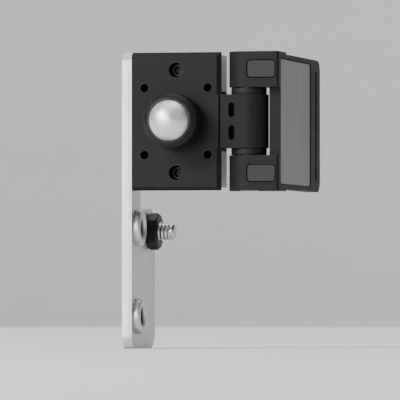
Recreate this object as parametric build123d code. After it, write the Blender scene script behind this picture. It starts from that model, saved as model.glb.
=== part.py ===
from build123d import *
import os

os.makedirs("parts", exist_ok=True)

# Driving sizes, in millimetres. The origin is midway between the two wall
# screws, on the face that lies against the enclosure wall. +X points away
# from that wall, +Y into the enclosure and +Z up.
SHEET = 2.0  # thickness of the folded bracket
FRONT_Y = -4.5  # bracket's front edge and frame leaf's front face
HINGE_Z = 30.5  # middle of the hinge above the origin
LEAF_HALF = 14.0  # half the height of the frame leaf
LEG_BOTTOM = -15.5  # bottom of the bracket's leg
LEG_DEPTH = 21.5  # depth of the leg below the hinge
LEG_SHOULDER = 13.0  # height where the deep part of the leg ends
CORNER_R = 2.5  # rounding of the leg's front corners
FOLD_R = 1.8  # outside radius of a fold
INNER_FOLD_R = 0.5
LEG_REAR_R = 4.0  # rounding of the leg's rear corners
TIGHT_GAP = 0.02  # between pieces that are pressed or screwed together
CUT_PAST = 1.0  # how far a cutting shape runs past what it cuts

PLATE_RIGHT = 20.4  # right edge of the frame leaf's face
SKIN = 1.2  # thickness of the frame leaf over the bracket's lips
LEAF_DEPTH = 6.0  # frame leaf's depth, front face to bracket web
LIP_INNER = 6.0  # lips start this far above and below the middle
CORE_HALF = 13.4  # half the height of the leaf's core and of the lips
LEAF_EDGE = 0.8  # chamfer round the face, and rounding of the core
LINE_INSET = 0.2  # fine line beside the neck
LINE_WIDTH = 0.5
LINE_DEPTH = 0.7

PLATE_X = 11.2  # centre of the stud and of the hole pattern
HOLE_PITCH_X = 13.1
HOLE_PITCH_Z = 13.6
SMALL_HOLE_R = 0.85
SMALL_HOLE_DEPTH = 4.0
ADJUST_PITCH = 20.8  # between the two adjusting screws
ADJUST_HOLE_R = 1.5
ADJUST_SCREW_R = 1.45
ADJUST_SOCKET_AF = 1.5
ADJUST_SOCKET_DEPTH = 1.2
ADJUST_EDGE = 0.2
ADJUST_RECESS = 2.0

POST_R = 5.5
POST_HEIGHT = 6.6
POST_CHAMFER = 0.9
SHANK_R = 2.5
SHANK_HOLE_R = 2.7  # in the bracket
SHANK_EDGE = 0.5
SHANK_PAST_NUT = 1.2
DOME_R = 4.1
DOME_HEIGHT = 3.1
DOME_STEM_R = 1.48
DOME_STEM = 3.0
STEM_ROOM = 0.2  # under the stem
WASHER_R = 5.0
WASHER_T = 1.0
WASHER_GAP = 0.1
NUT_AF = 8.0
NUT_T = 4.0
NUT_EDGE = 0.5
NUT_ROUND = 0.35  # from across flats to the turned outside

WALL_PITCH = 18.0  # between the two wall screws
CLINCH_R = 3.6
CLINCH_HEIGHT = 1.4
CLINCH_EDGE = 0.3
CLINCH_SHANK_R = 2.7
CLINCH_BORE_R = 1.65
CLINCH_MOUTH = 0.7  # how far its mouth is countersunk
EARTH_Y = 11.0  # earth stud's place on the leg
EARTH_Z = 8.4
EARTH_R = 2.0
EARTH_LENGTH = 7.6
EARTH_EDGE = 0.4
EARTH_HEAD_R = 3.18
EARTH_HEAD_T = 1.0
EARTH_HEAD_GAP = 0.02
EARTH_NUT_AF = 7.0
EARTH_NUT_T = 2.4
EARTH_NUT_EDGE = 0.45
EARTH_NUT_ROUND = 0.3

PIN_X = 25.5  # hinge axis
PIN_R = 2.0
PIN_Y = -0.5
BARREL_R = 4.0
CENTRE_HALF = 5.4  # half the height of the middle knuckle
SLOT_LENGTH = 3.0  # two lightening slots in the middle knuckle
SLOT_WIDTH = 1.3
SLOT_X = 22.7
SLOT_Z = 2.3
SLOT_DEPTH = 2.4
GAP = 1.5  # between the middle and the outer knuckles
ARM_HALF = 14.1  # half the height of the arm
BUSH_R = 2.75
BUSH_GAP = 0.01
BUSH_FLANGE_R = 3.6
BUSH_FLANGE_T = 1.4
BUSH_LENGTH = 4.8
RUN_FIT = 0.05  # pin in its bushes
HEAD_R = 3.0
HEAD_T = 0.9
HEAD_SINK = 0.1  # head below the knuckle's end
SINK_R = 3.3
CLIP_T = 0.6
CLIP_WASHER_T = 0.4
CLIP_SINK = 0.4  # ring below the knuckle's end
CLIP_R = 3.1
CLIP_MOUTH = 2.5
PIN_GROOVE = 0.4  # depth of the ring's groove

ARM_RIGHT = 32.4  # right side of the outer knuckles
SWING_INNER = 30.1  # face of the swing leaf nearest the pin
SWING_OUTER = 32.4
SWING_REAR = 38.5
SWING_HALF = 13.7
SWING_FRONT = -2.5
SWING_CORNER_R = 2.5
KNUCKLE_EDGE = 0.4
INSERT_SEAT = 31.3  # floor of the pocket in the swing leaf
INSERT_T = 0.9
INSERT_FRONT = -2.0
INSERT_REAR = 29.0
INSERT_HALF = 12.8
INSERT_POCKET_R = 1.0
INSERT_GAP = 0.1
GROOVE_INSET = 3.6  # from the leaf's rear edge to the groove
GROOVE_WIDTH = 1.3
GROOVE_HALF = 11.3
GROOVE_DEPTH = 0.5
RIVET_Y = (7.0, 22.0)
RIVET_Z = 8.0
RIVET_R = 1.0
RIVET_HEAD_R = 2.0
RIVET_HEAD_T = 0.8
RIVET_EDGE = 0.3
RIVET_GRIP = 0.5  # how far a rivet reaches into the insert
PAD_LEFT = 25.8
PAD_RIGHT = 31.8
PAD_LOW = 8.7  # pad's inner edge from the middle
PAD_HIGH = 12.4
PAD_DEPTH = 1.0
PAD_GAP = 0.15
PAD_SINK = 0.1  # pad below the knuckle's face
PAD_POCKET_R = 0.8

WEB_FRONT = FRONT_Y + LEAF_DEPTH
WEB_REAR = WEB_FRONT + SHEET
LIP_LEFT = PLATE_RIGHT - SHEET
LIP_FRONT = FRONT_Y + SKIN
OUTER_LOW = CENTRE_HALF + GAP
POST_TOP = FRONT_Y - POST_HEIGHT
HEAD_SEAT = ARM_HALF - HEAD_T - HEAD_SINK  # under the pin's head
CLIP_FLOOR = ARM_HALF - CLIP_T - CLIP_WASHER_T - CLIP_SINK  # over its washer
FAR = 20.0  # past every piece, for cuts that go right through


def block(x0, x1, y0, y1, z0, z1):
    """Box between two corners."""
    centre = Pos((x0 + x1) / 2, (y0 + y1) / 2, (z0 + z1) / 2)
    return centre * Box(x1 - x0, y1 - y0, z1 - z0)


def rod_x(radius, x0, x1, y, z):
    return Pos((x0 + x1) / 2, y, z) * Rot(0, 90, 0) * Cylinder(radius, x1 - x0)


def rod_y(radius, y0, y1, x, z):
    return Pos(x, (y0 + y1) / 2, z) * Rot(90, 0, 0) * Cylinder(radius, y1 - y0)


def rod_z(radius, z0, z1, x=PIN_X, y=PIN_Y):
    return Pos(x, y, (z0 + z1) / 2) * Cylinder(radius, z1 - z0)


def hexagon(across_flats, thickness):
    """Hexagonal prism standing on the XY plane."""
    flat = RegularPolygon(across_flats / 2, 6, major_radius=False)
    return extrude(flat, thickness)


def hexagon_nut(across_flats, thickness, bore_r, rounding, edge):
    """Nut standing on the XY plane, its corners turned off at both faces."""
    turned = Cylinder(across_flats / 2 + rounding, thickness)
    turned = chamfer(turned.edges().filter_by(GeomType.CIRCLE), edge)
    nut = hexagon(across_flats, thickness) & (Pos(0, 0, thickness / 2) * turned)
    return nut - Cylinder(bore_r, FAR)


def edges_at(shape, axis, first, second):
    """Edges along an axis whose other two coordinates match."""
    found = []
    for edge in shape.edges().filter_by(axis):
        middle = edge.center()
        if axis == Axis.X:
            place = (middle.Y, middle.Z)
        elif axis == Axis.Y:
            place = (middle.X, middle.Z)
        else:
            place = (middle.X, middle.Y)
        if abs(place[0] - first) < 0.01 and abs(place[1] - second) < 0.01:
            found.append(edge)
    return found


def raised(shape):
    """Lift a piece made about the hinge's middle to its height."""
    return Pos(0, 0, HINGE_Z) * shape


def adjust_places():
    return [(PLATE_X, side * ADJUST_PITCH / 2) for side in (-1, 1)]


def small_places():
    half_x = HOLE_PITCH_X / 2
    half_z = HOLE_PITCH_Z / 2
    return [
        (PLATE_X + x * half_x, z * half_z) for x in (-1, 1) for z in (-1, 1)
    ]


def make_bracket():
    top = LEAF_HALF
    bottom = LEG_BOTTOM - HINGE_Z
    shoulder = LEG_SHOULDER - HINGE_Z
    rear = FRONT_Y + LEG_DEPTH
    leg = block(0, SHEET, FRONT_Y, rear, bottom, shoulder)
    leg += block(0, SHEET, FRONT_Y, WEB_REAR, shoulder, top)
    corners = edges_at(leg, Axis.X, FRONT_Y, bottom)
    corners += edges_at(leg, Axis.X, FRONT_Y, top)
    leg = fillet(corners, CORNER_R)
    corners = edges_at(leg, Axis.X, rear, bottom)
    corners += edges_at(leg, Axis.X, rear, shoulder)
    leg = fillet(corners, LEG_REAR_R)

    web = block(0, PLATE_RIGHT, WEB_FRONT, WEB_REAR, -CORE_HALF, CORE_HALF)
    lips = block(
        LIP_LEFT, PLATE_RIGHT, LIP_FRONT, WEB_REAR, -CORE_HALF, CORE_HALF
    )
    lips -= block(
        LIP_LEFT - CUT_PAST, PLATE_RIGHT + CUT_PAST, LIP_FRONT - CUT_PAST, WEB_FRONT,
        -LIP_INNER, LIP_INNER,
    )
    shape = leg + web + lips
    folds = edges_at(shape, Axis.Z, PLATE_RIGHT, WEB_REAR)
    folds += edges_at(shape, Axis.Z, 0, WEB_REAR)
    shape = fillet([edge for edge in folds if edge.length > LEAF_HALF], FOLD_R)
    inner = edges_at(shape, Axis.Z, SHEET, WEB_FRONT)
    inner += edges_at(shape, Axis.Z, LIP_LEFT, WEB_FRONT)
    shape = fillet(inner, INNER_FOLD_R)

    for x, z in adjust_places():
        shape -= rod_y(ADJUST_HOLE_R, WEB_FRONT - CUT_PAST, WEB_REAR + CUT_PAST, x, z)
    shape -= rod_y(SHANK_HOLE_R, WEB_FRONT - CUT_PAST, WEB_REAR + CUT_PAST, PLATE_X, 0)
    for side in (-1, 1):
        hole_z = side * WALL_PITCH / 2 - HINGE_Z
        shape -= rod_x(CLINCH_SHANK_R, -CUT_PAST, SHEET + CUT_PAST, 0, hole_z)
    earth_z = EARTH_Z - HINGE_Z
    shape -= rod_x(EARTH_R + TIGHT_GAP, -CUT_PAST, SHEET + CUT_PAST, EARTH_Y, earth_z)
    shape -= rod_x(EARTH_HEAD_R + EARTH_HEAD_GAP, -CUT_PAST, EARTH_HEAD_T, EARTH_Y, earth_z)
    return raised(shape)


def make_clinch_nuts():
    """Two threaded clinch nuts, flush with the wall face."""
    nuts = []
    for side in (-1, 1):
        z = side * WALL_PITCH / 2
        body = rod_x(CLINCH_SHANK_R, 0, SHEET, 0, z)
        head = rod_x(CLINCH_R, SHEET, SHEET + CLINCH_HEIGHT, 0, z)
        rim = head.edges().filter_by(GeomType.CIRCLE).sort_by(Axis.X)[-1]
        body += chamfer(rim, CLINCH_EDGE)
        mouth = SHEET + CLINCH_HEIGHT
        body -= rod_x(CLINCH_BORE_R, -CUT_PAST, mouth + CUT_PAST, 0, z)
        cone = Pos(mouth - CLINCH_MOUTH / 2, 0, z) * Rot(0, 90, 0)
        body -= cone * Cone(
            CLINCH_BORE_R - 0.01, CLINCH_BORE_R + CLINCH_MOUTH, CLINCH_MOUTH + 0.01
        )
        nuts.append(body)
    return Compound(children=nuts)


def make_earth_stud():
    shape = rod_x(EARTH_R, EARTH_HEAD_T / 2, EARTH_LENGTH, EARTH_Y, EARTH_Z)
    tip = shape.edges().filter_by(GeomType.CIRCLE).sort_by(Axis.X)[-1]
    shape = chamfer(tip, EARTH_EDGE)
    return shape + rod_x(EARTH_HEAD_R, 0, EARTH_HEAD_T, EARTH_Y, EARTH_Z)


def make_earth_nut():
    nut = hexagon_nut(
        EARTH_NUT_AF, EARTH_NUT_T, EARTH_R + TIGHT_GAP, EARTH_NUT_ROUND, EARTH_NUT_EDGE
    )
    return Pos(SHEET, EARTH_Y, EARTH_Z) * Rot(0, 90, 0) * nut


def make_frame_leaf():
    skin = block(SHEET, PLATE_RIGHT, FRONT_Y, LIP_FRONT, -LEAF_HALF, LEAF_HALF)
    core = block(SHEET, LIP_LEFT, LIP_FRONT, WEB_FRONT, -CORE_HALF, CORE_HALF)
    rear = edges_at(core, Axis.Z, SHEET, WEB_FRONT)
    rear += edges_at(core, Axis.Z, LIP_LEFT, WEB_FRONT)
    core = fillet(rear, LEAF_EDGE)
    edges = edges_at(skin, Axis.Z, PLATE_RIGHT, FRONT_Y)
    edges += edges_at(skin, Axis.X, FRONT_Y, -LEAF_HALF)
    edges += edges_at(skin, Axis.X, FRONT_Y, LEAF_HALF)
    skin = chamfer(edges, LEAF_EDGE)
    shape = skin + core

    neck = block(
        LIP_LEFT - CUT_PAST, PIN_X, FRONT_Y, WEB_FRONT, -CENTRE_HALF, CENTRE_HALF
    )
    shape += neck + rod_z(BARREL_R, -CENTRE_HALF, CENTRE_HALF)
    line_x = PLATE_RIGHT - LINE_INSET
    shape -= block(
        line_x - LINE_WIDTH / 2, line_x + LINE_WIDTH / 2,
        FRONT_Y - CUT_PAST, FRONT_Y + LINE_DEPTH, -LIP_INNER, LIP_INNER,
    )
    for side in (-1, 1):
        slot = SlotOverall(SLOT_LENGTH, SLOT_WIDTH, rotation=90)
        slot = Plane.XZ * slot
        slot = Pos(SLOT_X, FRONT_Y, side * SLOT_Z) * extrude(slot, SLOT_DEPTH, both=True)
        shape -= slot
    shape -= rod_z(BUSH_R + BUSH_GAP, -CENTRE_HALF - CUT_PAST, CENTRE_HALF + CUT_PAST)
    for x, z in adjust_places():
        shape -= rod_y(ADJUST_HOLE_R, FRONT_Y - CUT_PAST, WEB_FRONT + CUT_PAST, x, z)
    for x, z in small_places():
        shape -= rod_y(SMALL_HOLE_R, FRONT_Y - CUT_PAST, FRONT_Y + SMALL_HOLE_DEPTH, x, z)
    shape -= rod_y(SHANK_R + RUN_FIT, FRONT_Y - CUT_PAST, WEB_FRONT + CUT_PAST, PLATE_X, 0)
    return raised(shape)


def make_adjust_screws():
    """Two socket set screws sunk in the frame leaf."""
    screws = []
    for x, z in adjust_places():
        head = FRONT_Y + ADJUST_RECESS
        body = rod_y(ADJUST_SCREW_R, head, WEB_REAR - ADJUST_EDGE, x, z)
        body = chamfer(body.edges().filter_by(GeomType.CIRCLE), ADJUST_EDGE)
        socket = hexagon(ADJUST_SOCKET_AF, ADJUST_SOCKET_DEPTH + CUT_PAST)
        socket = Pos(x, head + ADJUST_SOCKET_DEPTH, z) * Rot(90, 0, 0) * socket
        screws.append(body - socket)
    return raised(Compound(children=screws))


def make_guide_stud():
    """Black post with a threaded shank through the leaf and the bracket."""
    post = rod_y(POST_R, POST_TOP, FRONT_Y, PLATE_X, 0)
    rim = post.edges().filter_by(GeomType.CIRCLE).sort_by(Axis.Y)[0]
    post = chamfer(rim, POST_CHAMFER)
    end = WEB_REAR + WASHER_T + NUT_T + SHANK_PAST_NUT
    shank = rod_y(SHANK_R, FRONT_Y, end, PLATE_X, 0)
    tip = shank.edges().filter_by(GeomType.CIRCLE).sort_by(Axis.Y)[-1]
    post += chamfer(tip, SHANK_EDGE)
    seat_end = POST_TOP + DOME_STEM + STEM_ROOM
    seat = rod_y(DOME_STEM_R + TIGHT_GAP, POST_TOP - CUT_PAST, seat_end, PLATE_X, 0)
    return raised(post - seat)


def make_stud_dome():
    ball_r = (DOME_R ** 2 + DOME_HEIGHT ** 2) / (2 * DOME_HEIGHT)
    ball = Pos(PLATE_X, POST_TOP - DOME_HEIGHT + ball_r, 0) * Sphere(ball_r)
    cap = ball & block(
        PLATE_X - ball_r, PLATE_X + ball_r, POST_TOP - ball_r, POST_TOP, -ball_r, ball_r
    )
    stem = rod_y(DOME_STEM_R, POST_TOP - DOME_HEIGHT / 2, POST_TOP + DOME_STEM, PLATE_X, 0)
    return raised(cap + stem)


def make_stud_washer():
    outer = rod_y(WASHER_R, WEB_REAR, WEB_REAR + WASHER_T, PLATE_X, 0)
    return raised(outer - rod_y(SHANK_R + WASHER_GAP, -FAR, FAR, PLATE_X, 0))


def make_stud_nut():
    nut = hexagon_nut(NUT_AF, NUT_T, SHANK_R + TIGHT_GAP, NUT_ROUND, NUT_EDGE)
    return raised(Pos(PLATE_X, WEB_REAR + WASHER_T, 0) * Rot(-90, 0, 0) * nut)


def make_bush(side):
    """Flanged bush; its flange is the thrust washer in the knuckle gap."""
    face = CENTRE_HALF
    body = rod_z(BUSH_R, face - BUSH_LENGTH, face)
    body += rod_z(BUSH_FLANGE_R, face, face + BUSH_FLANGE_T)
    body -= rod_z(PIN_R + RUN_FIT, 0, FAR)
    if side < 0:
        body = mirror(body, Plane.XY)
    return raised(body)


def make_swing_arm():
    shape = block(
        SWING_INNER, SWING_OUTER, SWING_FRONT, SWING_REAR, -SWING_HALF, SWING_HALF
    )
    corners = edges_at(shape, Axis.X, SWING_REAR, -SWING_HALF)
    corners += edges_at(shape, Axis.X, SWING_REAR, SWING_HALF)
    shape = fillet(corners, SWING_CORNER_R)
    for side in (-1, 1):
        low, high = sorted((side * OUTER_LOW, side * ARM_HALF))
        knuckle = rod_z(BARREL_R, low, high)
        knuckle += block(
            PIN_X, ARM_RIGHT, FRONT_Y, FRONT_Y + 2 * BARREL_R, low, high
        )
        edge = edges_at(knuckle, Axis.Z, ARM_RIGHT, FRONT_Y)
        shape += chamfer(edge, KNUCKLE_EDGE)

    pocket = block(
        INSERT_SEAT, SWING_OUTER + CUT_PAST, INSERT_FRONT, INSERT_REAR,
        -INSERT_HALF, INSERT_HALF,
    )
    shape -= fillet(pocket.edges().filter_by(Axis.X), INSERT_POCKET_R)
    groove = block(
        SWING_OUTER - GROOVE_DEPTH, SWING_OUTER + CUT_PAST,
        SWING_REAR - GROOVE_INSET - GROOVE_WIDTH, SWING_REAR - GROOVE_INSET,
        -GROOVE_HALF, GROOVE_HALF,
    )
    shape -= groove
    for y in RIVET_Y:
        for side in (-1, 1):
            shape -= rod_x(
                RIVET_R + TIGHT_GAP, SWING_INNER - CUT_PAST, INSERT_SEAT + CUT_PAST,
                y, side * RIVET_Z,
            )
    for side in (-1, 1):
        low, high = sorted((side * PAD_LOW, side * PAD_HIGH))
        pocket = block(
            PAD_LEFT, PAD_RIGHT, FRONT_Y - CUT_PAST, FRONT_Y + PAD_DEPTH, low, high
        )
        shape -= fillet(pocket.edges().filter_by(Axis.Y), PAD_POCKET_R)
    shape -= rod_z(PIN_R + TIGHT_GAP, -FAR, FAR)
    shape -= rod_z(SINK_R, HEAD_SEAT, FAR)
    shape -= rod_z(SINK_R, -FAR, -CLIP_FLOOR)
    return raised(shape)


def make_pad(side):
    """Moulded pad pressed into the front of an outer knuckle."""
    body = block(
        PAD_LEFT + PAD_GAP, PAD_RIGHT - PAD_GAP,
        FRONT_Y + PAD_SINK, FRONT_Y + PAD_DEPTH,
        PAD_LOW + PAD_GAP, PAD_HIGH - PAD_GAP,
    )
    body = fillet(body.edges().filter_by(Axis.Y), PAD_POCKET_R - PAD_GAP)
    if side < 0:
        body = mirror(body, Plane.XY)
    return raised(body)


def make_hinge_pin():
    shape = rod_z(PIN_R, -ARM_HALF, HEAD_SEAT)
    shape += rod_z(HEAD_R, HEAD_SEAT, HEAD_SEAT + HEAD_T)
    groove_top = -CLIP_FLOOR - CLIP_WASHER_T
    groove = rod_z(PIN_R + CUT_PAST, groove_top - CLIP_T, groove_top)
    groove -= rod_z(PIN_R - PIN_GROOVE, -FAR, FAR)
    return raised(shape - groove)


def make_pin_washer():
    shape = rod_z(CLIP_R, -CLIP_FLOOR - CLIP_WASHER_T, -CLIP_FLOOR)
    return raised(shape - rod_z(PIN_R + TIGHT_GAP, -FAR, FAR))


def make_pin_clip():
    """Open retaining ring that snaps into the pin's groove."""
    high = -CLIP_FLOOR - CLIP_WASHER_T
    shape = rod_z(CLIP_R, high - CLIP_T, high)
    shape -= rod_z(PIN_R - PIN_GROOVE + TIGHT_GAP, -FAR, FAR)
    shape -= block(
        PIN_X - CLIP_MOUTH / 2, PIN_X + CLIP_MOUTH / 2, PIN_Y - FAR, PIN_Y, -FAR, 0
    )
    return raised(shape)


def make_leaf_insert():
    """Bright steel plate let into the swing leaf."""
    shape = block(
        INSERT_SEAT, INSERT_SEAT + INSERT_T,
        INSERT_FRONT + INSERT_GAP, INSERT_REAR - INSERT_GAP,
        -INSERT_HALF + INSERT_GAP, INSERT_HALF - INSERT_GAP,
    )
    shape = fillet(shape.edges().filter_by(Axis.X), INSERT_POCKET_R - INSERT_GAP)
    for y in RIVET_Y:
        for side in (-1, 1):
            shape -= rod_x(
                RIVET_R + TIGHT_GAP, INSERT_SEAT - CUT_PAST, INSERT_SEAT + RIVET_GRIP,
                y, side * RIVET_Z,
            )
    return raised(shape)


def make_leaf_rivets():
    rivets = []
    for y in RIVET_Y:
        for side in (-1, 1):
            z = side * RIVET_Z
            head = rod_x(
                RIVET_HEAD_R, SWING_INNER - RIVET_HEAD_T, SWING_INNER, y, z
            )
            rim = head.edges().filter_by(GeomType.CIRCLE).sort_by(Axis.X)[0]
            shank = rod_x(RIVET_R, SWING_INNER, INSERT_SEAT + RIVET_GRIP, y, z)
            rivets.append(chamfer(rim, RIVET_EDGE) + shank)
    return raised(Compound(children=rivets))


PIECES = {
    "mounting_bracket": make_bracket(),
    "clinch_nuts": make_clinch_nuts(),
    "earth_stud": make_earth_stud(),
    "earth_nut": make_earth_nut(),
    "frame_leaf": make_frame_leaf(),
    "adjust_screws": make_adjust_screws(),
    "guide_stud": make_guide_stud(),
    "stud_dome": make_stud_dome(),
    "stud_washer": make_stud_washer(),
    "stud_nut": make_stud_nut(),
    "upper_bush": make_bush(1),
    "lower_bush": make_bush(-1),
    "swing_arm": make_swing_arm(),
    "upper_pad": make_pad(1),
    "lower_pad": make_pad(-1),
    "hinge_pin": make_hinge_pin(),
    "pin_washer": make_pin_washer(),
    "pin_clip": make_pin_clip(),
    "leaf_insert": make_leaf_insert(),
    "leaf_rivets": make_leaf_rivets(),
}

for name, shape in PIECES.items():
    export_step(shape, f"parts/{name}.step")
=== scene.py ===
import math

import bmesh
import bpy
from bpy.props import FloatProperty, FloatVectorProperty, IntProperty, PointerProperty
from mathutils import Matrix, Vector


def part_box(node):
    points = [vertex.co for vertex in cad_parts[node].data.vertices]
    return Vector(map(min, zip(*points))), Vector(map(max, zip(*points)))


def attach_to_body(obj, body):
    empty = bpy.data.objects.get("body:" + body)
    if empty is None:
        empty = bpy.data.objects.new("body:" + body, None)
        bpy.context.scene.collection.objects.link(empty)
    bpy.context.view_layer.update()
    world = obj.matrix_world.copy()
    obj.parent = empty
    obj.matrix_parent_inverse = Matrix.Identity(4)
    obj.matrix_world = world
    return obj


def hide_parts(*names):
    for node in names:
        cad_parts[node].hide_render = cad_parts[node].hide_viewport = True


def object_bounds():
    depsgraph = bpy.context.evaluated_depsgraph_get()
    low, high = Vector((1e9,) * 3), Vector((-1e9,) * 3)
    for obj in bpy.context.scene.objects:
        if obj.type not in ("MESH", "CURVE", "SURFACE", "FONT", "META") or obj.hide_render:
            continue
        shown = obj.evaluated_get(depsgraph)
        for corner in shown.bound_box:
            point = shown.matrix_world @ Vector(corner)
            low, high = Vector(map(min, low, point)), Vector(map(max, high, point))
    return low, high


bl_info = {
    "name": "Concealed enclosure hinge",
    "version": (1, 0, 0),
    "blender": (4, 5, 0),
    "location": "View3D > Sidebar > Hinge",
    "description": "Builds the finished look of a concealed three-knuckle hinge",
    "category": "Object",
}

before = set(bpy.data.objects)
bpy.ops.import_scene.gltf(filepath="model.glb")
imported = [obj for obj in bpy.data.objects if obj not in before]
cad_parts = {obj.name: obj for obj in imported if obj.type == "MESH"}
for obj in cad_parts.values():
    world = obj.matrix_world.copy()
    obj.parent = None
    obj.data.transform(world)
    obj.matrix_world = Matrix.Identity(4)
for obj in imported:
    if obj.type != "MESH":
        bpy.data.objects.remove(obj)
CAD_BOX = [list(corner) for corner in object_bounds()]
FRAME_SIDE = "frame_side"
SWING_SIDE = "swing_side"

# Lengths are in metres and noise scales in cells per metre.
MERGE = 1e-7  # vertices closer than this become one
GUIDE_SHANK_R = 0.0025
EARTH_SHANK_R = 0.002
CLINCH_BORE_R = 0.0018
CLEAN_CUT = 0.0013  # part of the bracket's thickness that sheared cleanly
LATHE_RINGS = 26000.0  # radians of ring pattern for each metre of radius
# painted shade: dark colour laid inside a bore's radius in place of the shadow down the hole
BORE_SHADE = (0.02, 0.02, 0.02)
EDGE_FAINT, EDGE_FULL = 0.02, 0.25  # how far a bevelled normal turns from the flat
NOISE_LOW, NOISE_HIGH = 0.3, 0.7  # where most of a noise lies
MIX_FIRST, MIX_SECOND, MIX_RESULT = 6, 7, 2  # a mix node's colour sockets
THREAD_SINK = 1.2  # how far a thread's core lies in, in ridge heights
NECK_START = 0.0003  # how far inside its nut a shank is turned down
NECK_STEP = 0.00004  # length of the shoulder there
RIDGE_START = 0.0002  # how far inside its nut a ridge starts
THREAD_TURN = {"X": (0, math.pi / 2, 0), "Y": (-math.pi / 2, 0, 0)}

# The paper under the hinge, which bends up into a wall behind it.
FLOOR_HALF = 3.0
FLOOR_FRONT = -2.5
BEND_START = 1.2
BEND_R = 0.5
BEND_STEPS = 12
WALL_TOP = 3.0

# Square lamps that face the hinge: name, place, side in metres, watts.
LIGHTS = (
    ("key", (-0.62, -0.72, 0.60), 0.45, 15.0),
    ("front", (-0.34, -1.05, 0.14), 0.5, 7.5),
    ("fill", (0.80, -0.30, 0.35), 0.7, 0.4),
    ("top", (0.10, 0.10, 0.90), 0.8, 3.0),
    ("rear", (-0.35, 0.85, 0.55), 0.7, 2.5),
)
BACKDROP_LAMP = (0.0, 0.60, 1.30)
BACKDROP_AIM = (0.0, BEND_START + BEND_R, 0.45)
AMBIENT = 0.26  # strength of the even light all round


# ---- sizes and colours a user would change ---------------------------------


class HingeShape(bpy.types.PropertyGroup):
    sheet_edge: FloatProperty(
        name="Sheet edge", description="Rounding left by the press on the bracket",
        default=0.00022, unit="LENGTH",
    )
    insert_edge: FloatProperty(
        name="Insert edge", description="Rounding left by the press on the light plate",
        default=0.000154, unit="LENGTH",
    )
    cast_edge: FloatProperty(
        name="Casting edge", description="Rounding of the castings' corners",
        default=0.00021, unit="LENGTH",
    )
    post_edge: FloatProperty(
        name="Post edge", description="Rounding of the guide stud",
        default=0.00018, unit="LENGTH",
    )
    screw_edge: FloatProperty(
        name="Set screw edge", description="Rounding of the adjusting screws",
        default=0.000072, unit="LENGTH",
    )
    turned_edge: FloatProperty(
        name="Turned edge", description="Rounding of turned and headed parts",
        default=0.00012, unit="LENGTH",
    )
    thread_depth: FloatProperty(
        name="Thread depth", description="Height of a thread's ridge",
        default=0.00024, unit="LENGTH",
    )
    thread_pitch: FloatProperty(
        name="Thread pitch", description="Distance between two turns of thread",
        default=0.0007, unit="LENGTH",
    )
    thread_sides: IntProperty(
        name="Thread steps", description="Points on one turn of thread", default=32,
    )


class HingeColours(bpy.types.PropertyGroup):
    coat: FloatVectorProperty(
        name="Black coat", description="Powder coat of the two castings",
        subtype="COLOR", size=3, default=(0.0105, 0.0105, 0.011),
    )
    coat_worn: FloatVectorProperty(
        name="Worn coat", description="Rubbed edges of the coat",
        subtype="COLOR", size=3, default=(0.045, 0.045, 0.046),
    )
    zinc: FloatVectorProperty(
        name="Zinc", description="Plate of the wall bracket",
        subtype="COLOR", size=3, default=(0.66, 0.665, 0.67),
    )
    insert: FloatVectorProperty(
        name="Insert", description="Light plate in the swing leaf",
        subtype="COLOR", size=3, default=(0.21, 0.212, 0.215),
    )
    dome: FloatVectorProperty(
        name="Dome", description="Satin nickel dome",
        subtype="COLOR", size=3, default=(0.86, 0.86, 0.85),
    )
    steel: FloatVectorProperty(
        name="Steel", description="Plain turned steel",
        subtype="COLOR", size=3, default=(0.60, 0.60, 0.61),
    )
    oxide: FloatVectorProperty(
        name="Black oxide", description="Blackened post, nut and ring",
        subtype="COLOR", size=3, default=(0.009, 0.009, 0.0095),
    )
    pad: FloatVectorProperty(
        name="Pad", description="Moulded pads on the outer knuckles",
        subtype="COLOR", size=3, default=(0.022, 0.022, 0.023),
    )
    bush: FloatVectorProperty(
        name="Bush", description="Plastic flanged bushes",
        subtype="COLOR", size=3, default=(0.008, 0.008, 0.008),
    )


class HingeStage(bpy.types.PropertyGroup):
    camera_azimuth: FloatProperty(
        name="Camera azimuth", description="Camera's turn to the hinge's right",
        default=math.radians(12.4), subtype="ANGLE",
    )
    camera_elevation: FloatProperty(
        name="Camera elevation", description="Camera's height above level",
        default=math.radians(-1.0), subtype="ANGLE",
    )
    camera_distance: FloatProperty(
        name="Camera distance", description="From the camera to the hinge",
        default=1.2, unit="LENGTH",
    )
    lens: FloatProperty(name="Lens", description="Focal length in millimetres", default=534.0)
    floor: FloatVectorProperty(
        name="Floor", description="Colour of floor and backdrop",
        subtype="COLOR", size=3, default=(0.78, 0.78, 0.78),
    )


# ---- materials --------------------------------------------------------------


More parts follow.
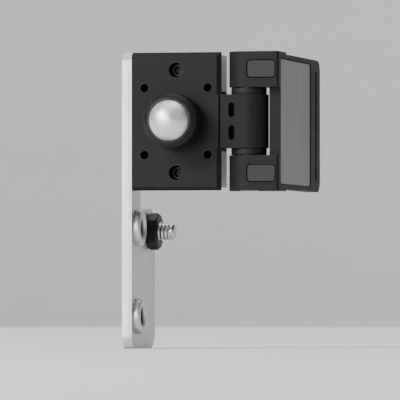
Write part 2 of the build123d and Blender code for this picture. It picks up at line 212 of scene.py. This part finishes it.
class Finish:
    """A procedural material under construction."""

    def __init__(self, name):
        self.material = bpy.data.materials.new(name)
        self.material.use_nodes = True
        self.tree = self.material.node_tree
        self.shader = self.tree.nodes["Principled BSDF"]
        self.place = self.add("ShaderNodeTexCoord").outputs["Object"]

    def add(self, kind, **values):
        node = self.tree.nodes.new(kind)
        for key, value in values.items():
            setattr(node, key, value)
        return node

    def link(self, source, target):
        self.tree.links.new(source, target)

    def stretched(self, scale, centre=(0, 0, 0)):
        """Object coordinates about a centre, stretched along each axis."""
        moved = self.add("ShaderNodeVectorMath", operation="SUBTRACT")
        self.link(self.place, moved.inputs[0])
        moved.inputs[1].default_value = centre
        grown = self.add("ShaderNodeVectorMath", operation="MULTIPLY")
        self.link(moved.outputs[0], grown.inputs[0])
        grown.inputs[1].default_value = scale
        return grown.outputs[0]

    def noise(self, scale, detail=4.0, rough=0.55):
        node = self.add("ShaderNodeTexNoise")
        if isinstance(scale, (int, float)):
            scale = (scale, scale, scale)
        self.link(self.stretched(scale), node.inputs["Vector"])
        node.inputs["Scale"].default_value = 1.0
        node.inputs["Detail"].default_value = detail
        node.inputs["Roughness"].default_value = rough
        return node.outputs["Fac"]

    def voronoi(self, scale):
        node = self.add("ShaderNodeTexVoronoi")
        self.link(self.stretched((scale,) * 3), node.inputs["Vector"])
        node.inputs["Scale"].default_value = 1.0
        return node.outputs["Distance"]

    def remap(self, value, low, high, to_low, to_high):
        node = self.add("ShaderNodeMapRange")
        self.link(value, node.inputs["Value"])
        for key, number in zip(
            ("From Min", "From Max", "To Min", "To Max"), (low, high, to_low, to_high)
        ):
            node.inputs[key].default_value = number
        return node.outputs["Result"]

    def drift(self, cloud, low, high):
        """A noise's middle range spread over a range of values."""
        return self.remap(cloud, NOISE_LOW, NOISE_HIGH, low, high)

    def component(self, vector, axis):
        parts = self.add("ShaderNodeSeparateXYZ")
        self.link(vector, parts.inputs[0])
        return parts.outputs["XYZ".index(axis)]

    def facing(self, axis):
        """How far the surface faces along an axis, from -1 to 1."""
        return self.component(self.add("ShaderNodeNewGeometry").outputs["Normal"], axis)

    def maths(self, operation, first, second=0.0):
        node = self.add("ShaderNodeMath", operation=operation)
        for socket, value in zip(node.inputs, (first, second)):
            if isinstance(value, (int, float)):
                socket.default_value = value
            else:
                self.link(value, socket)
        return node.outputs[0]

    def blend(self, factor, first, second):
        """Colour between two colours or colour sockets."""
        node = self.add("ShaderNodeMix", data_type="RGBA")
        self.link(factor, node.inputs["Factor"])
        sockets = (node.inputs[MIX_FIRST], node.inputs[MIX_SECOND])
        for socket, value in zip(sockets, (first, second)):
            if isinstance(value, bpy.types.NodeSocket):
                self.link(value, socket)
            else:
                socket.default_value = (*value, 1.0)
        return node.outputs[MIX_RESULT]

    def edge_mask(self, width):
        """1 on convex and concave edges, 0 on flats."""
        soft = self.add("ShaderNodeBevel", samples=4)
        soft.inputs["Radius"].default_value = width
        geometry = self.add("ShaderNodeNewGeometry")
        dot = self.add("ShaderNodeVectorMath", operation="DOT_PRODUCT")
        self.link(soft.outputs[0], dot.inputs[0])
        self.link(geometry.outputs["Normal"], dot.inputs[1])
        away = self.maths("SUBTRACT", 1.0, dot.outputs["Value"])
        return self.remap(away, EDGE_FAINT, EDGE_FULL, 0.0, 1.0)

    def clouded(self, cloud, colour, dark, light):
        """A colour that drifts between two shades of itself."""
        factor = self.drift(cloud, 0, 1)
        return self.blend(factor, shade(colour, dark), shade(colour, light))

    def bump(self, height, strength, distance):
        node = self.add("ShaderNodeBump")
        self.link(height, node.inputs["Height"])
        node.inputs["Strength"].default_value = strength
        node.inputs["Distance"].default_value = distance
        self.link(node.outputs[0], self.shader.inputs["Normal"])

    def colour(self, socket):
        self.link(socket, self.shader.inputs["Base Color"])

    def roughness(self, socket):
        self.link(socket, self.shader.inputs["Roughness"])

    def set(self, **values):
        for key, value in values.items():
            self.shader.inputs[key.replace("_", " ")].default_value = value


def shade(colour, factor):
    return tuple(channel * factor for channel in colour)


def black_coat(name, colours):
    """Fine-textured powder coat with rubbed edges and a little dust."""
    m = Finish(name)
    cloud = m.noise(260, 5)
    speck = m.noise(5200, 2, 0.7)
    tint = m.clouded(cloud, colours.coat, 0.78, 1.25)
    dust = m.remap(speck, 0.60, 0.80, 0.0, 0.5)
    tint = m.blend(dust, tint, shade(colours.coat_worn, 0.9))
    breakup = m.remap(m.noise(1500, 4), 0.42, 0.62, 0.15, 1.0)
    worn = m.maths("MULTIPLY", m.edge_mask(0.00028), breakup)
    m.colour(m.blend(worn, tint, colours.coat_worn))
    m.roughness(m.drift(cloud, 0.52, 0.64))
    peel = m.maths("ADD", m.noise(3600, 3, 0.6), m.maths("MULTIPLY", m.voronoi(2600), 0.5))
    m.bump(peel, strength=0.45, distance=0.00006)
    m.set(Specular_IOR_Level=0.15)
    return m.material


def zinc_plate(name, colour, grain, rough, metallic=0.60, sheared=None):
    """Bright zinc on sheet, with soft clouds and rolling lines.

    Sheared is the place in the sheet's thickness where its front edge turns from
    a clean cut to a torn one."""
    m = Finish(name)
    cloud = m.noise(140, 5)
    lines = m.noise(grain, 3, 0.6)
    tint = m.clouded(cloud, colour, 0.90, 1.04)
    tint = m.blend(m.remap(lines, 0.50, 0.78, 0, 0.35), tint, shade(colour, 0.72))
    spots = m.remap(m.noise(900, 3), 0.66, 0.80, 0.0, 0.45)
    tint = m.blend(spots, tint, shade(colour, 0.60))
    relief = lines
    if sheared is not None:
        ragged = m.maths("MULTIPLY", m.noise(700, 3), 0.0003)
        depth = m.maths("ADD", m.component(m.place, "X"), ragged)
        band = m.remap(depth, sheared, sheared + 0.0001, 0.0, 1.0)
        front = m.remap(m.facing("Y"), -0.98, -0.90, 1.0, 0.0)
        torn = m.maths("MULTIPLY", band, front)
        tint = m.blend(m.maths("MULTIPLY", torn, 0.55), tint, shade(colour, 0.66))
        grit = m.maths("MULTIPLY", m.noise((9000, 9000, 2600), 3, 0.7), torn)
        relief = m.maths("ADD", lines, m.maths("MULTIPLY", grit, 2.5))
    # Painted highlight: edges are drawn a little lighter than the flats, as if catching the
    # light.
    m.colour(m.blend(m.edge_mask(0.0002), tint, shade(colour, 1.08)))
    mixed = m.maths("ADD", m.maths("MULTIPLY", cloud, 0.5), m.maths("MULTIPLY", lines, 0.5))
    m.roughness(m.remap(mixed, 0.35, 0.65, *rough))
    m.bump(relief, strength=0.12, distance=0.00004)
    m.set(Metallic=metallic, Specular_IOR_Level=0.35)
    return m.material


def turned_metal(name, colour, centre, axis, metallic, rough, paired=False, bore=0.0):
    """Metal faced on a lathe: fine rings about an axis, and painted shade inside a bore's
    radius where there is one, darkening it as the shadow down a deep hole would.

    A paired finish serves two like pieces on either side of the origin."""
    m = Finish(name)
    flat = [1.0, 1.0, 1.0]
    flat["XYZ".index(axis)] = 0.0
    if paired:
        same = m.add("ShaderNodeVectorMath", operation="ABSOLUTE")
        m.link(m.place, same.inputs[0])
        m.place = same.outputs[0]
    spread = m.add("ShaderNodeVectorMath", operation="LENGTH")
    m.link(m.stretched(flat, centre), spread.inputs[0])
    radius = spread.outputs["Value"]
    wobble = m.maths("MULTIPLY", m.noise(1400, 3), 0.00012)
    path = m.maths("ADD", radius, wobble)
    rings = m.maths("SINE", m.maths("MULTIPLY", path, LATHE_RINGS))
    cloud = m.noise(700, 4)
    tint = m.clouded(cloud, colour, 0.86, 1.06)
    # Painted highlight: edges are drawn a little lighter, as if catching the light.
    tint = m.blend(m.edge_mask(0.00012), tint, shade(colour, 1.12))
    if bore:
        # Painted shade: the inside of the bore is darkened as if in shadow.
        bore_shade = m.remap(radius, bore, bore + 0.0003, 0.92, 0.0)
        tint = m.blend(bore_shade, tint, BORE_SHADE)
    m.colour(tint)
    m.roughness(m.drift(cloud, *rough))
    m.bump(rings, strength=0.05, distance=0.00001)
    m.set(Metallic=metallic)
    return m.material


def black_oxide(name, colour):
    """Oiled black oxide, rubbed brown-grey on its edges."""
    m = Finish(name)
    cloud = m.noise(800, 5)
    tint = m.clouded(cloud, colour, 0.7, 1.5)
    worn = m.maths("MULTIPLY", m.edge_mask(0.00014), m.remap(cloud, 0.4, 0.6, 0.2, 0.9))
    m.colour(m.blend(worn, tint, shade(colour, 4.5)))
    m.roughness(m.drift(m.noise(2400, 3), 0.38, 0.52))
    m.bump(m.noise(4200, 3), strength=0.12, distance=0.00003)
    m.set(Metallic=0.15, Specular_IOR_Level=0.25)
    return m.material


def moulded_plastic(name, colour, grain=4200.0):
    """Spark-eroded mould texture on dark plastic."""
    m = Finish(name)
    cells = m.voronoi(grain)
    cloud = m.noise(500, 4)
    tint = m.clouded(cloud, colour, 0.85, 1.2)
    m.colour(m.blend(m.remap(cells, 0.0, 0.5, 0.35, 0.0), tint, shade(colour, 1.8)))
    m.roughness(m.drift(cloud, 0.52, 0.66))
    m.bump(cells, strength=0.35, distance=0.00006)
    m.set(Specular_IOR_Level=0.28)
    return m.material


# ---- meshes -----------------------------------------------------------------


def merged_copy(node):
    """A CAD node's mesh with its doubles merged and its flat faces joined."""
    bm = bmesh.new()
    bm.from_mesh(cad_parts[node].data)
    bmesh.ops.remove_doubles(bm, verts=bm.verts, dist=MERGE)
    bmesh.ops.dissolve_limit(
        bm, angle_limit=math.radians(0.8), verts=bm.verts, edges=bm.edges
    )
    return bm


def mesh_of(bm, name):
    mesh = bpy.data.meshes.new(name)
    bm.to_mesh(mesh)
    bm.free()
    return mesh


def new_object(name, mesh):
    obj = bpy.data.objects.new(name, mesh)
    bpy.context.scene.collection.objects.link(obj)
    return obj


def settle(obj):
    """Turns the evaluated object into a plain mesh and drops its modifiers."""
    graph = bpy.context.evaluated_depsgraph_get()
    mesh = bpy.data.meshes.new_from_object(obj.evaluated_get(graph))
    old = obj.data
    obj.modifiers.clear()
    obj.data = mesh
    if old.users == 0:
        bpy.data.meshes.remove(old)
    mesh.name = obj.name
    return obj


def smooth(mesh, degrees):
    for face in mesh.polygons:
        face.use_smooth = True
    mesh.set_sharp_from_angle(angle=math.radians(degrees))


def softened(node, name, width, segments=2, limit=32):
    """The CAD shape with its edges rounded as the real part's are."""
    obj = new_object(name, mesh_of(merged_copy(node), name))
    bevel = obj.modifiers.new("edges", "BEVEL")
    bevel.width = width
    bevel.segments = segments
    bevel.limit_method = "ANGLE"
    bevel.angle_limit = math.radians(limit)
    bevel.use_clamp_overlap = True
    even = obj.modifiers.new("flats", "WEIGHTED_NORMAL")
    even.weight = 100
    even.keep_sharp = False
    smooth(obj.data, 180)
    return settle(obj)


def turn_down(obj, axis, start, centre, radius, core):
    """Takes a shank down to its thread's core from a place on its axis to its end."""
    index = "XYZ".index(axis)
    others = [i for i in range(3) if i != index]
    along = Vector([float(i == index) for i in range(3)])
    bm = bmesh.new()
    bm.from_mesh(obj.data)
    for offset in (0.0, NECK_STEP):
        bmesh.ops.bisect_plane(
            bm, geom=[*bm.verts, *bm.edges, *bm.faces],
            plane_co=along * (start - offset), plane_no=along,
        )
    for vert in bm.verts:
        if vert.co[index] > start - NECK_STEP / 4:
            for i in others:
                vert.co[i] = centre[i] + (vert.co[i] - centre[i]) * core / radius
    bm.to_mesh(obj.data)
    bm.free()
    smooth(obj.data, 40)


def attach(obj, material, slot, body, *nodes):
    """Gives a piece its finish and its place in the frame."""
    obj.data.materials.clear()
    obj.data.materials.append(material)
    if nodes:
        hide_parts(*nodes)
    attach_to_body(obj, body)


def paint(node, material):
    """A better material on a CAD node that keeps its own mesh."""
    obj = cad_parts[node]
    obj.data.materials.clear()
    obj.data.materials.append(material)


def middle(node):
    low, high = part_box(node)
    return (Vector(low) + Vector(high)) / 2


# ---- threads made by geometry nodes ------------------------------------------


THREAD_INPUTS = {
    "Radius": "Float", "Depth": "Float", "Pitch": "Float", "Length": "Float",
    "Steps": "Int", "Place": "Vector", "Turn": "Rotation",
}
RIDGE_SIDES = 6


def thread_tree(material):
    """A helical ridge: a spiral curve swept with a small round profile."""
    tree = bpy.data.node_groups.new("Thread ridge", "GeometryNodeTree")
    ids = {}
    for name, kind in THREAD_INPUTS.items():
        socket = tree.interface.new_socket(
            name, in_out="INPUT", socket_type="NodeSocket" + kind
        )
        ids[name] = socket.identifier
    tree.interface.new_socket("Geometry", in_out="OUTPUT", socket_type="NodeSocketGeometry")
    add = tree.nodes.new
    link = tree.links.new
    entry = add("NodeGroupInput")
    out = add("NodeGroupOutput")
    turns = add("ShaderNodeMath")
    turns.operation = "DIVIDE"
    link(entry.outputs["Length"], turns.inputs[0])
    link(entry.outputs["Pitch"], turns.inputs[1])
    spiral = add("GeometryNodeCurveSpiral")
    link(entry.outputs["Steps"], spiral.inputs["Resolution"])
    link(turns.outputs[0], spiral.inputs["Rotations"])
    link(entry.outputs["Radius"], spiral.inputs["Start Radius"])
    link(entry.outputs["Radius"], spiral.inputs["End Radius"])
    link(entry.outputs["Length"], spiral.inputs["Height"])
    ridge = add("GeometryNodeCurvePrimitiveCircle")
    ridge.inputs["Resolution"].default_value = RIDGE_SIDES
    link(entry.outputs["Depth"], ridge.inputs["Radius"])
    upright = add("GeometryNodeSetCurveNormal")
    upright.mode = "Z_UP"
    link(spiral.outputs[0], upright.inputs[0])
    sweep = add("GeometryNodeCurveToMesh")
    sweep.inputs["Fill Caps"].default_value = True
    link(upright.outputs[0], sweep.inputs["Curve"])
    link(ridge.outputs[0], sweep.inputs["Profile Curve"])
    move = add("GeometryNodeTransform")
    link(sweep.outputs[0], move.inputs["Geometry"])
    link(entry.outputs["Place"], move.inputs["Translation"])
    link(entry.outputs["Turn"], move.inputs["Rotation"])
    real = add("GeometryNodeRealizeInstances")
    link(move.outputs[0], real.inputs[0])
    finish = add("GeometryNodeSetMaterial")
    finish.inputs["Material"].default_value = material
    link(real.outputs[0], finish.inputs["Geometry"])
    link(finish.outputs[0], out.inputs[0])
    return tree, ids


def thread(name, material, radius, length, place, turn):
    """A ridge of thread as a plain mesh object."""
    shape = bpy.context.scene.hinge_shape
    tree, ids = thread_tree(material)
    obj = new_object(name, bpy.data.meshes.new(name))
    made = obj.modifiers.new("thread", "NODES")
    made.node_group = tree
    values = {
        "Radius": radius, "Depth": shape.thread_depth, "Pitch": shape.thread_pitch,
        "Length": length, "Steps": shape.thread_sides, "Place": place, "Turn": turn,
    }
    for key, value in values.items():
        made[ids[key]] = value
    settle(obj)
    bm = bmesh.new()
    bm.from_mesh(obj.data)
    bmesh.ops.remove_doubles(bm, verts=bm.verts, dist=MERGE)
    bmesh.ops.recalc_face_normals(bm, faces=bm.faces)
    bm.to_mesh(obj.data)
    bm.free()
    smooth(obj.data, 50)
    return obj


def threaded_end(shank, name, material, axis, nut_face, end, centre, radius):
    """Turns a shank down past its nut and gives the ridge wound round it there."""
    core = radius - bpy.context.scene.hinge_shape.thread_depth * THREAD_SINK
    turn_down(shank, axis, nut_face - NECK_START, centre, radius, core)
    place = list(centre)
    place["XYZ".index(axis)] = nut_face - RIDGE_START
    length = end - nut_face - NECK_START
    return thread(name, material, core, length, place, THREAD_TURN[axis])


# ---- operators: one for each piece or group of like pieces --------------------


class HINGE_OT_bracket(bpy.types.Operator):
    """Folded zinc-plated wall bracket"""

    bl_idname = "hinge.bracket"
    bl_label = "Wall bracket"

    def execute(self, context):
        scene = context.scene
        obj = softened("mounting_bracket", "bracket_sheet", scene.hinge_shape.sheet_edge)
        material = zinc_plate(
            "Bracket zinc", scene.hinge_colours.zinc, (900, 900, 90), (0.36, 0.50),
            metallic=0.75, sheared=CLEAN_CUT,
        )
        attach(obj, material, "zinc_sheet", FRAME_SIDE, "mounting_bracket")
        return {"FINISHED"}


class HINGE_OT_frame_leaf(bpy.types.Operator):
    """Black cast leaf with the middle knuckle"""

    bl_idname = "hinge.frame_leaf"
    bl_label = "Frame leaf"

    def execute(self, context):
        scene = context.scene
        obj = softened("frame_leaf", "leaf_casting", scene.hinge_shape.cast_edge)
        material = black_coat("Frame leaf coat", scene.hinge_colours)
        attach(obj, material, "black_cast", FRAME_SIDE, "frame_leaf")
        return {"FINISHED"}


class HINGE_OT_swing_arm(bpy.types.Operator):
    """Black cast arm with the outer knuckles and the swing leaf"""

    bl_idname = "hinge.swing_arm"
    bl_label = "Swing arm"

    def execute(self, context):
        scene = context.scene
        obj = softened("swing_arm", "arm_casting", scene.hinge_shape.cast_edge)
        material = black_coat("Swing arm coat", scene.hinge_colours)
        attach(obj, material, "black_cast", SWING_SIDE, "swing_arm")
        return {"FINISHED"}


class HINGE_OT_leaf_insert(bpy.types.Operator):
    """Light steel plate in the swing leaf, and its rivets"""

    bl_idname = "hinge.leaf_insert"
    bl_label = "Leaf insert and rivets"

    def execute(self, context):
        scene = context.scene
        shape = scene.hinge_shape
        colours = scene.hinge_colours
        plate = softened("leaf_insert", "insert_plate", shape.insert_edge)
        light = zinc_plate("Insert zinc", colours.insert, (800, 800, 60), (0.42, 0.58))
        attach(plate, light, "light_sheet", SWING_SIDE, "leaf_insert")
        rivets = softened("leaf_rivets", "insert_rivets", shape.turned_edge)
        metal = zinc_plate("Rivet zinc", colours.steel, (1200, 1200, 1200), (0.30, 0.44))
        attach(rivets, metal, "zinc_bush", SWING_SIDE, "leaf_rivets")
        return {"FINISHED"}


class HINGE_OT_pads(bpy.types.Operator):
    """Moulded pads on the outer knuckles"""

    bl_idname = "hinge.pads"
    bl_label = "Knuckle pads"

    def execute(self, context):
        scene = context.scene
        material = moulded_plastic("Pad plastic", scene.hinge_colours.pad)
        for node, name in (("upper_pad", "pad_upper"), ("lower_pad", "pad_lower")):
            obj = softened(node, name, scene.hinge_shape.turned_edge, segments=3)
            attach(obj, material, "pad_plastic", SWING_SIDE, node)
        return {"FINISHED"}


class HINGE_OT_guide_stud(bpy.types.Operator):
    """Black post with its dome, and the threaded end behind the bracket"""

    bl_idname = "hinge.guide_stud"
    bl_label = "Guide stud"

    def execute(self, context):
        scene = context.scene
        shape = scene.hinge_shape
        colours = scene.hinge_colours
        oxide = black_oxide("Post oxide", colours.oxide)
        post = softened("guide_stud", "stud_post", shape.post_edge)
        ridge = threaded_end(
            post, "stud_thread", oxide, "Y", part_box("stud_nut")[1][1],
            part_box("guide_stud")[1][1], middle("guide_stud"), GUIDE_SHANK_R,
        )
        attach(post, oxide, "black_steel", FRAME_SIDE, "guide_stud")
        attach(ridge, oxide, "black_steel", FRAME_SIDE)
        dome = softened("stud_dome", "dome_cap", shape.turned_edge, limit=50)
        nickel = turned_metal(
            "Dome nickel", colours.dome, middle("stud_dome"), "Y", 0.9, (0.40, 0.48)
        )
        attach(dome, nickel, "bright_dome", FRAME_SIDE, "stud_dome")
        return {"FINISHED"}


class HINGE_OT_stud_fasteners(bpy.types.Operator):
    """Nut and washer that clamp the frame leaf to the bracket"""

    bl_idname = "hinge.stud_fasteners"
    bl_label = "Stud nut and washer"

    def execute(self, context):
        scene = context.scene
        shape = scene.hinge_shape
        metal = turned_metal(
            "Nut zinc", scene.hinge_colours.steel, middle("stud_nut"), "Y", 1.0, (0.28, 0.42)
        )
        nut = softened("stud_nut", "clamp_nut", shape.turned_edge, limit=25)
        attach(nut, metal, "zinc_bush", FRAME_SIDE, "stud_nut")
        washer = softened("stud_washer", "clamp_washer", shape.turned_edge)
        attach(washer, metal, "zinc_bush", FRAME_SIDE, "stud_washer")
        return {"FINISHED"}


class HINGE_OT_wall_fasteners(bpy.types.Operator):
    """Clinch nuts for the wall screws, and the earth stud with its nut"""

    bl_idname = "hinge.wall_fasteners"
    bl_label = "Wall nuts and earth stud"

    def execute(self, context):
        scene = context.scene
        shape = scene.hinge_shape
        colours = scene.hinge_colours
        nuts = softened("clinch_nuts", "wall_nuts", shape.turned_edge)
        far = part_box("clinch_nuts")[1]
        upper_nut = (0, 0, far[2] - far[1])  # a nut's radius below the top
        zinc = turned_metal(
            "Clinch nut zinc", colours.zinc, upper_nut, "X", 0.9, (0.32, 0.46),
            paired=True, bore=CLINCH_BORE_R,
        )
        attach(nuts, zinc, "zinc_bush", FRAME_SIDE, "clinch_nuts")

        stud = softened("earth_stud", "earth_screw", shape.turned_edge)
        centre = middle("earth_nut")
        steel = turned_metal("Stud steel", colours.steel, centre, "X", 1.0, (0.22, 0.36))
        ridge = threaded_end(
            stud, "earth_thread", steel, "X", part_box("earth_nut")[1][0],
            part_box("earth_stud")[1][0], centre, EARTH_SHANK_R,
        )
        attach(stud, steel, "plain_steel", FRAME_SIDE, "earth_stud")
        attach(ridge, steel, "plain_steel", FRAME_SIDE)
        nut = softened("earth_nut", "earth_locknut", shape.turned_edge, limit=25)
        oxide = black_oxide("Nut oxide", colours.oxide)
        attach(nut, oxide, "black_steel", FRAME_SIDE, "earth_nut")
        return {"FINISHED"}


class HINGE_OT_adjust_screws(bpy.types.Operator):
    """Socket set screws sunk in the frame leaf"""

    bl_idname = "hinge.adjust_screws"
    bl_label = "Adjusting screws"

    def execute(self, context):
        scene = context.scene
        metal = black_oxide("Set screw oxide", scene.hinge_colours.oxide)
        obj = softened("adjust_screws", "set_screws", scene.hinge_shape.screw_edge)
        attach(obj, metal, "black_steel", FRAME_SIDE, "adjust_screws")
        return {"FINISHED"}


class HINGE_OT_pin(bpy.types.Operator):
    """Hinge pin, its washer and ring, and the two bushes"""

    bl_idname = "hinge.pin"
    bl_label = "Pin and bushes"

    def execute(self, context):
        scene = context.scene
        shape = scene.hinge_shape
        colours = scene.hinge_colours
        steel = turned_metal(
            "Pin steel", colours.steel, middle("hinge_pin"), "Z", 1.0, (0.20, 0.34)
        )
        pin = softened("hinge_pin", "pin_headed", shape.turned_edge)
        attach(pin, steel, "plain_steel", SWING_SIDE, "hinge_pin")
        paint("pin_washer", steel)
        paint("pin_clip", black_oxide("Ring oxide", colours.oxide))
        plastic = moulded_plastic("Bush plastic", colours.bush, 5200.0)
        for node, name in (("upper_bush", "bush_upper"), ("lower_bush", "bush_lower")):
            bush = softened(node, name, shape.turned_edge)
            attach(bush, plastic, "bush_plastic", FRAME_SIDE, node)
        return {"FINISHED"}


def area_light(name, place, target, size, power):
    data = bpy.data.lights.new(name, "AREA")
    data.shape = "RECTANGLE"
    data.size, data.size_y = size
    data.energy = power
    obj = bpy.data.objects.new(name, data)
    bpy.context.scene.collection.objects.link(obj)
    obj.location = place
    obj.rotation_mode = "QUATERNION"
    obj.rotation_quaternion = (target - Vector(place)).to_track_quat("-Z", "Y")


def build_floor(ground, colour):
    """A sheet of paper that runs back and bends up into a wall."""
    rows = [(FLOOR_FRONT, 0.0), (BEND_START, 0.0)]
    for step in range(1, BEND_STEPS + 1):
        turn = math.pi / 2 * step / BEND_STEPS
        rows.append((BEND_START + BEND_R * math.sin(turn), BEND_R * (1 - math.cos(turn))))
    rows.append((BEND_START + BEND_R, WALL_TOP))
    bm = bmesh.new()
    left, right = [
        [bm.verts.new((x, y, ground + z)) for y, z in rows] for x in (-FLOOR_HALF, FLOOR_HALF)
    ]
    for i in range(len(rows) - 1):
        bm.faces.new((left[i], right[i], right[i + 1], left[i + 1]))
    floor = new_object("stage_floor", mesh_of(bm, "stage_floor"))
    smooth(floor.data, 60)
    m = Finish("Stage paper")
    m.colour(m.clouded(m.noise(40, 3), colour, 0.98, 1.0))
    m.set(Roughness=0.9, Specular_IOR_Level=0.1)
    floor.data.materials.append(m.material)
    return floor


def aim_camera(scene, centre):
    """Looks at the plane of the frame leaf's front, level with the hinge's middle."""
    stage = scene.hinge_stage
    aim = Vector((centre.x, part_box("frame_leaf")[0][1], centre.z))
    data = bpy.data.cameras.new("camera")
    data.sensor_width = 36
    data.lens = stage.lens
    data.clip_start, data.clip_end = 0.02, 20
    camera = bpy.data.objects.new("camera", data)
    scene.collection.objects.link(camera)
    a, e = stage.camera_azimuth, stage.camera_elevation
    back = Vector((math.sin(a) * math.cos(e), -math.cos(a) * math.cos(e), math.sin(e)))
    camera.location = aim + back * stage.camera_distance
    camera.rotation_mode = "QUATERNION"
    camera.rotation_quaternion = (-back).to_track_quat("-Z", "Y")
    scene.camera = camera


class HINGE_OT_stage(bpy.types.Operator):
    """Floor, soft lights and camera"""

    bl_idname = "hinge.stage"
    bl_label = "Stage"

    def execute(self, context):
        scene = context.scene
        low, high = (Vector(corner) for corner in CAD_BOX)
        centre = (low + high) / 2
        build_floor(low.z, scene.hinge_stage.floor)

        world = bpy.data.worlds.new("Studio")
        scene.world = world
        world.use_nodes = True
        background = world.node_tree.nodes["Background"]
        background.inputs["Color"].default_value = (0.9, 0.9, 0.9, 1)
        background.inputs["Strength"].default_value = AMBIENT
        for name, place, side, power in LIGHTS:
            area_light(name, place, centre, (side, side), power)
        area_light("backdrop", BACKDROP_LAMP, Vector(BACKDROP_AIM), (1.2, 0.4), 8.0)
        aim_camera(scene, centre)
        return {"FINISHED"}


OPERATORS = (
    HINGE_OT_bracket,
    HINGE_OT_frame_leaf,
    HINGE_OT_swing_arm,
    HINGE_OT_leaf_insert,
    HINGE_OT_pads,
    HINGE_OT_guide_stud,
    HINGE_OT_stud_fasteners,
    HINGE_OT_wall_fasteners,
    HINGE_OT_adjust_screws,
    HINGE_OT_pin,
    HINGE_OT_stage,
)


class HINGE_PT_panel(bpy.types.Panel):
    """Lists the hinge's pieces"""

    bl_idname = "HINGE_PT_panel"
    bl_label = "Concealed hinge"
    bl_space_type = "VIEW_3D"
    bl_region_type = "UI"
    bl_category = "Hinge"

    def draw(self, context):
        for operator in OPERATORS:
            self.layout.operator(operator.bl_idname)


CLASSES = (HingeShape, HingeColours, HingeStage, *OPERATORS, HINGE_PT_panel)


def register():
    for cls in CLASSES:
        bpy.utils.register_class(cls)
    bpy.types.Scene.hinge_shape = PointerProperty(type=HingeShape)
    bpy.types.Scene.hinge_colours = PointerProperty(type=HingeColours)
    bpy.types.Scene.hinge_stage = PointerProperty(type=HingeStage)


def unregister():
    del bpy.types.Scene.hinge_stage
    del bpy.types.Scene.hinge_colours
    del bpy.types.Scene.hinge_shape
    for cls in reversed(CLASSES):
        bpy.utils.unregister_class(cls)


def main():
    register()
    bpy.ops.hinge.bracket()
    bpy.ops.hinge.frame_leaf()
    bpy.ops.hinge.swing_arm()
    bpy.ops.hinge.leaf_insert()
    bpy.ops.hinge.pads()
    bpy.ops.hinge.guide_stud()
    bpy.ops.hinge.stud_fasteners()
    bpy.ops.hinge.wall_fasteners()
    bpy.ops.hinge.adjust_screws()
    bpy.ops.hinge.pin()
    bpy.ops.hinge.stage()


if __name__ == "__main__":
    main()
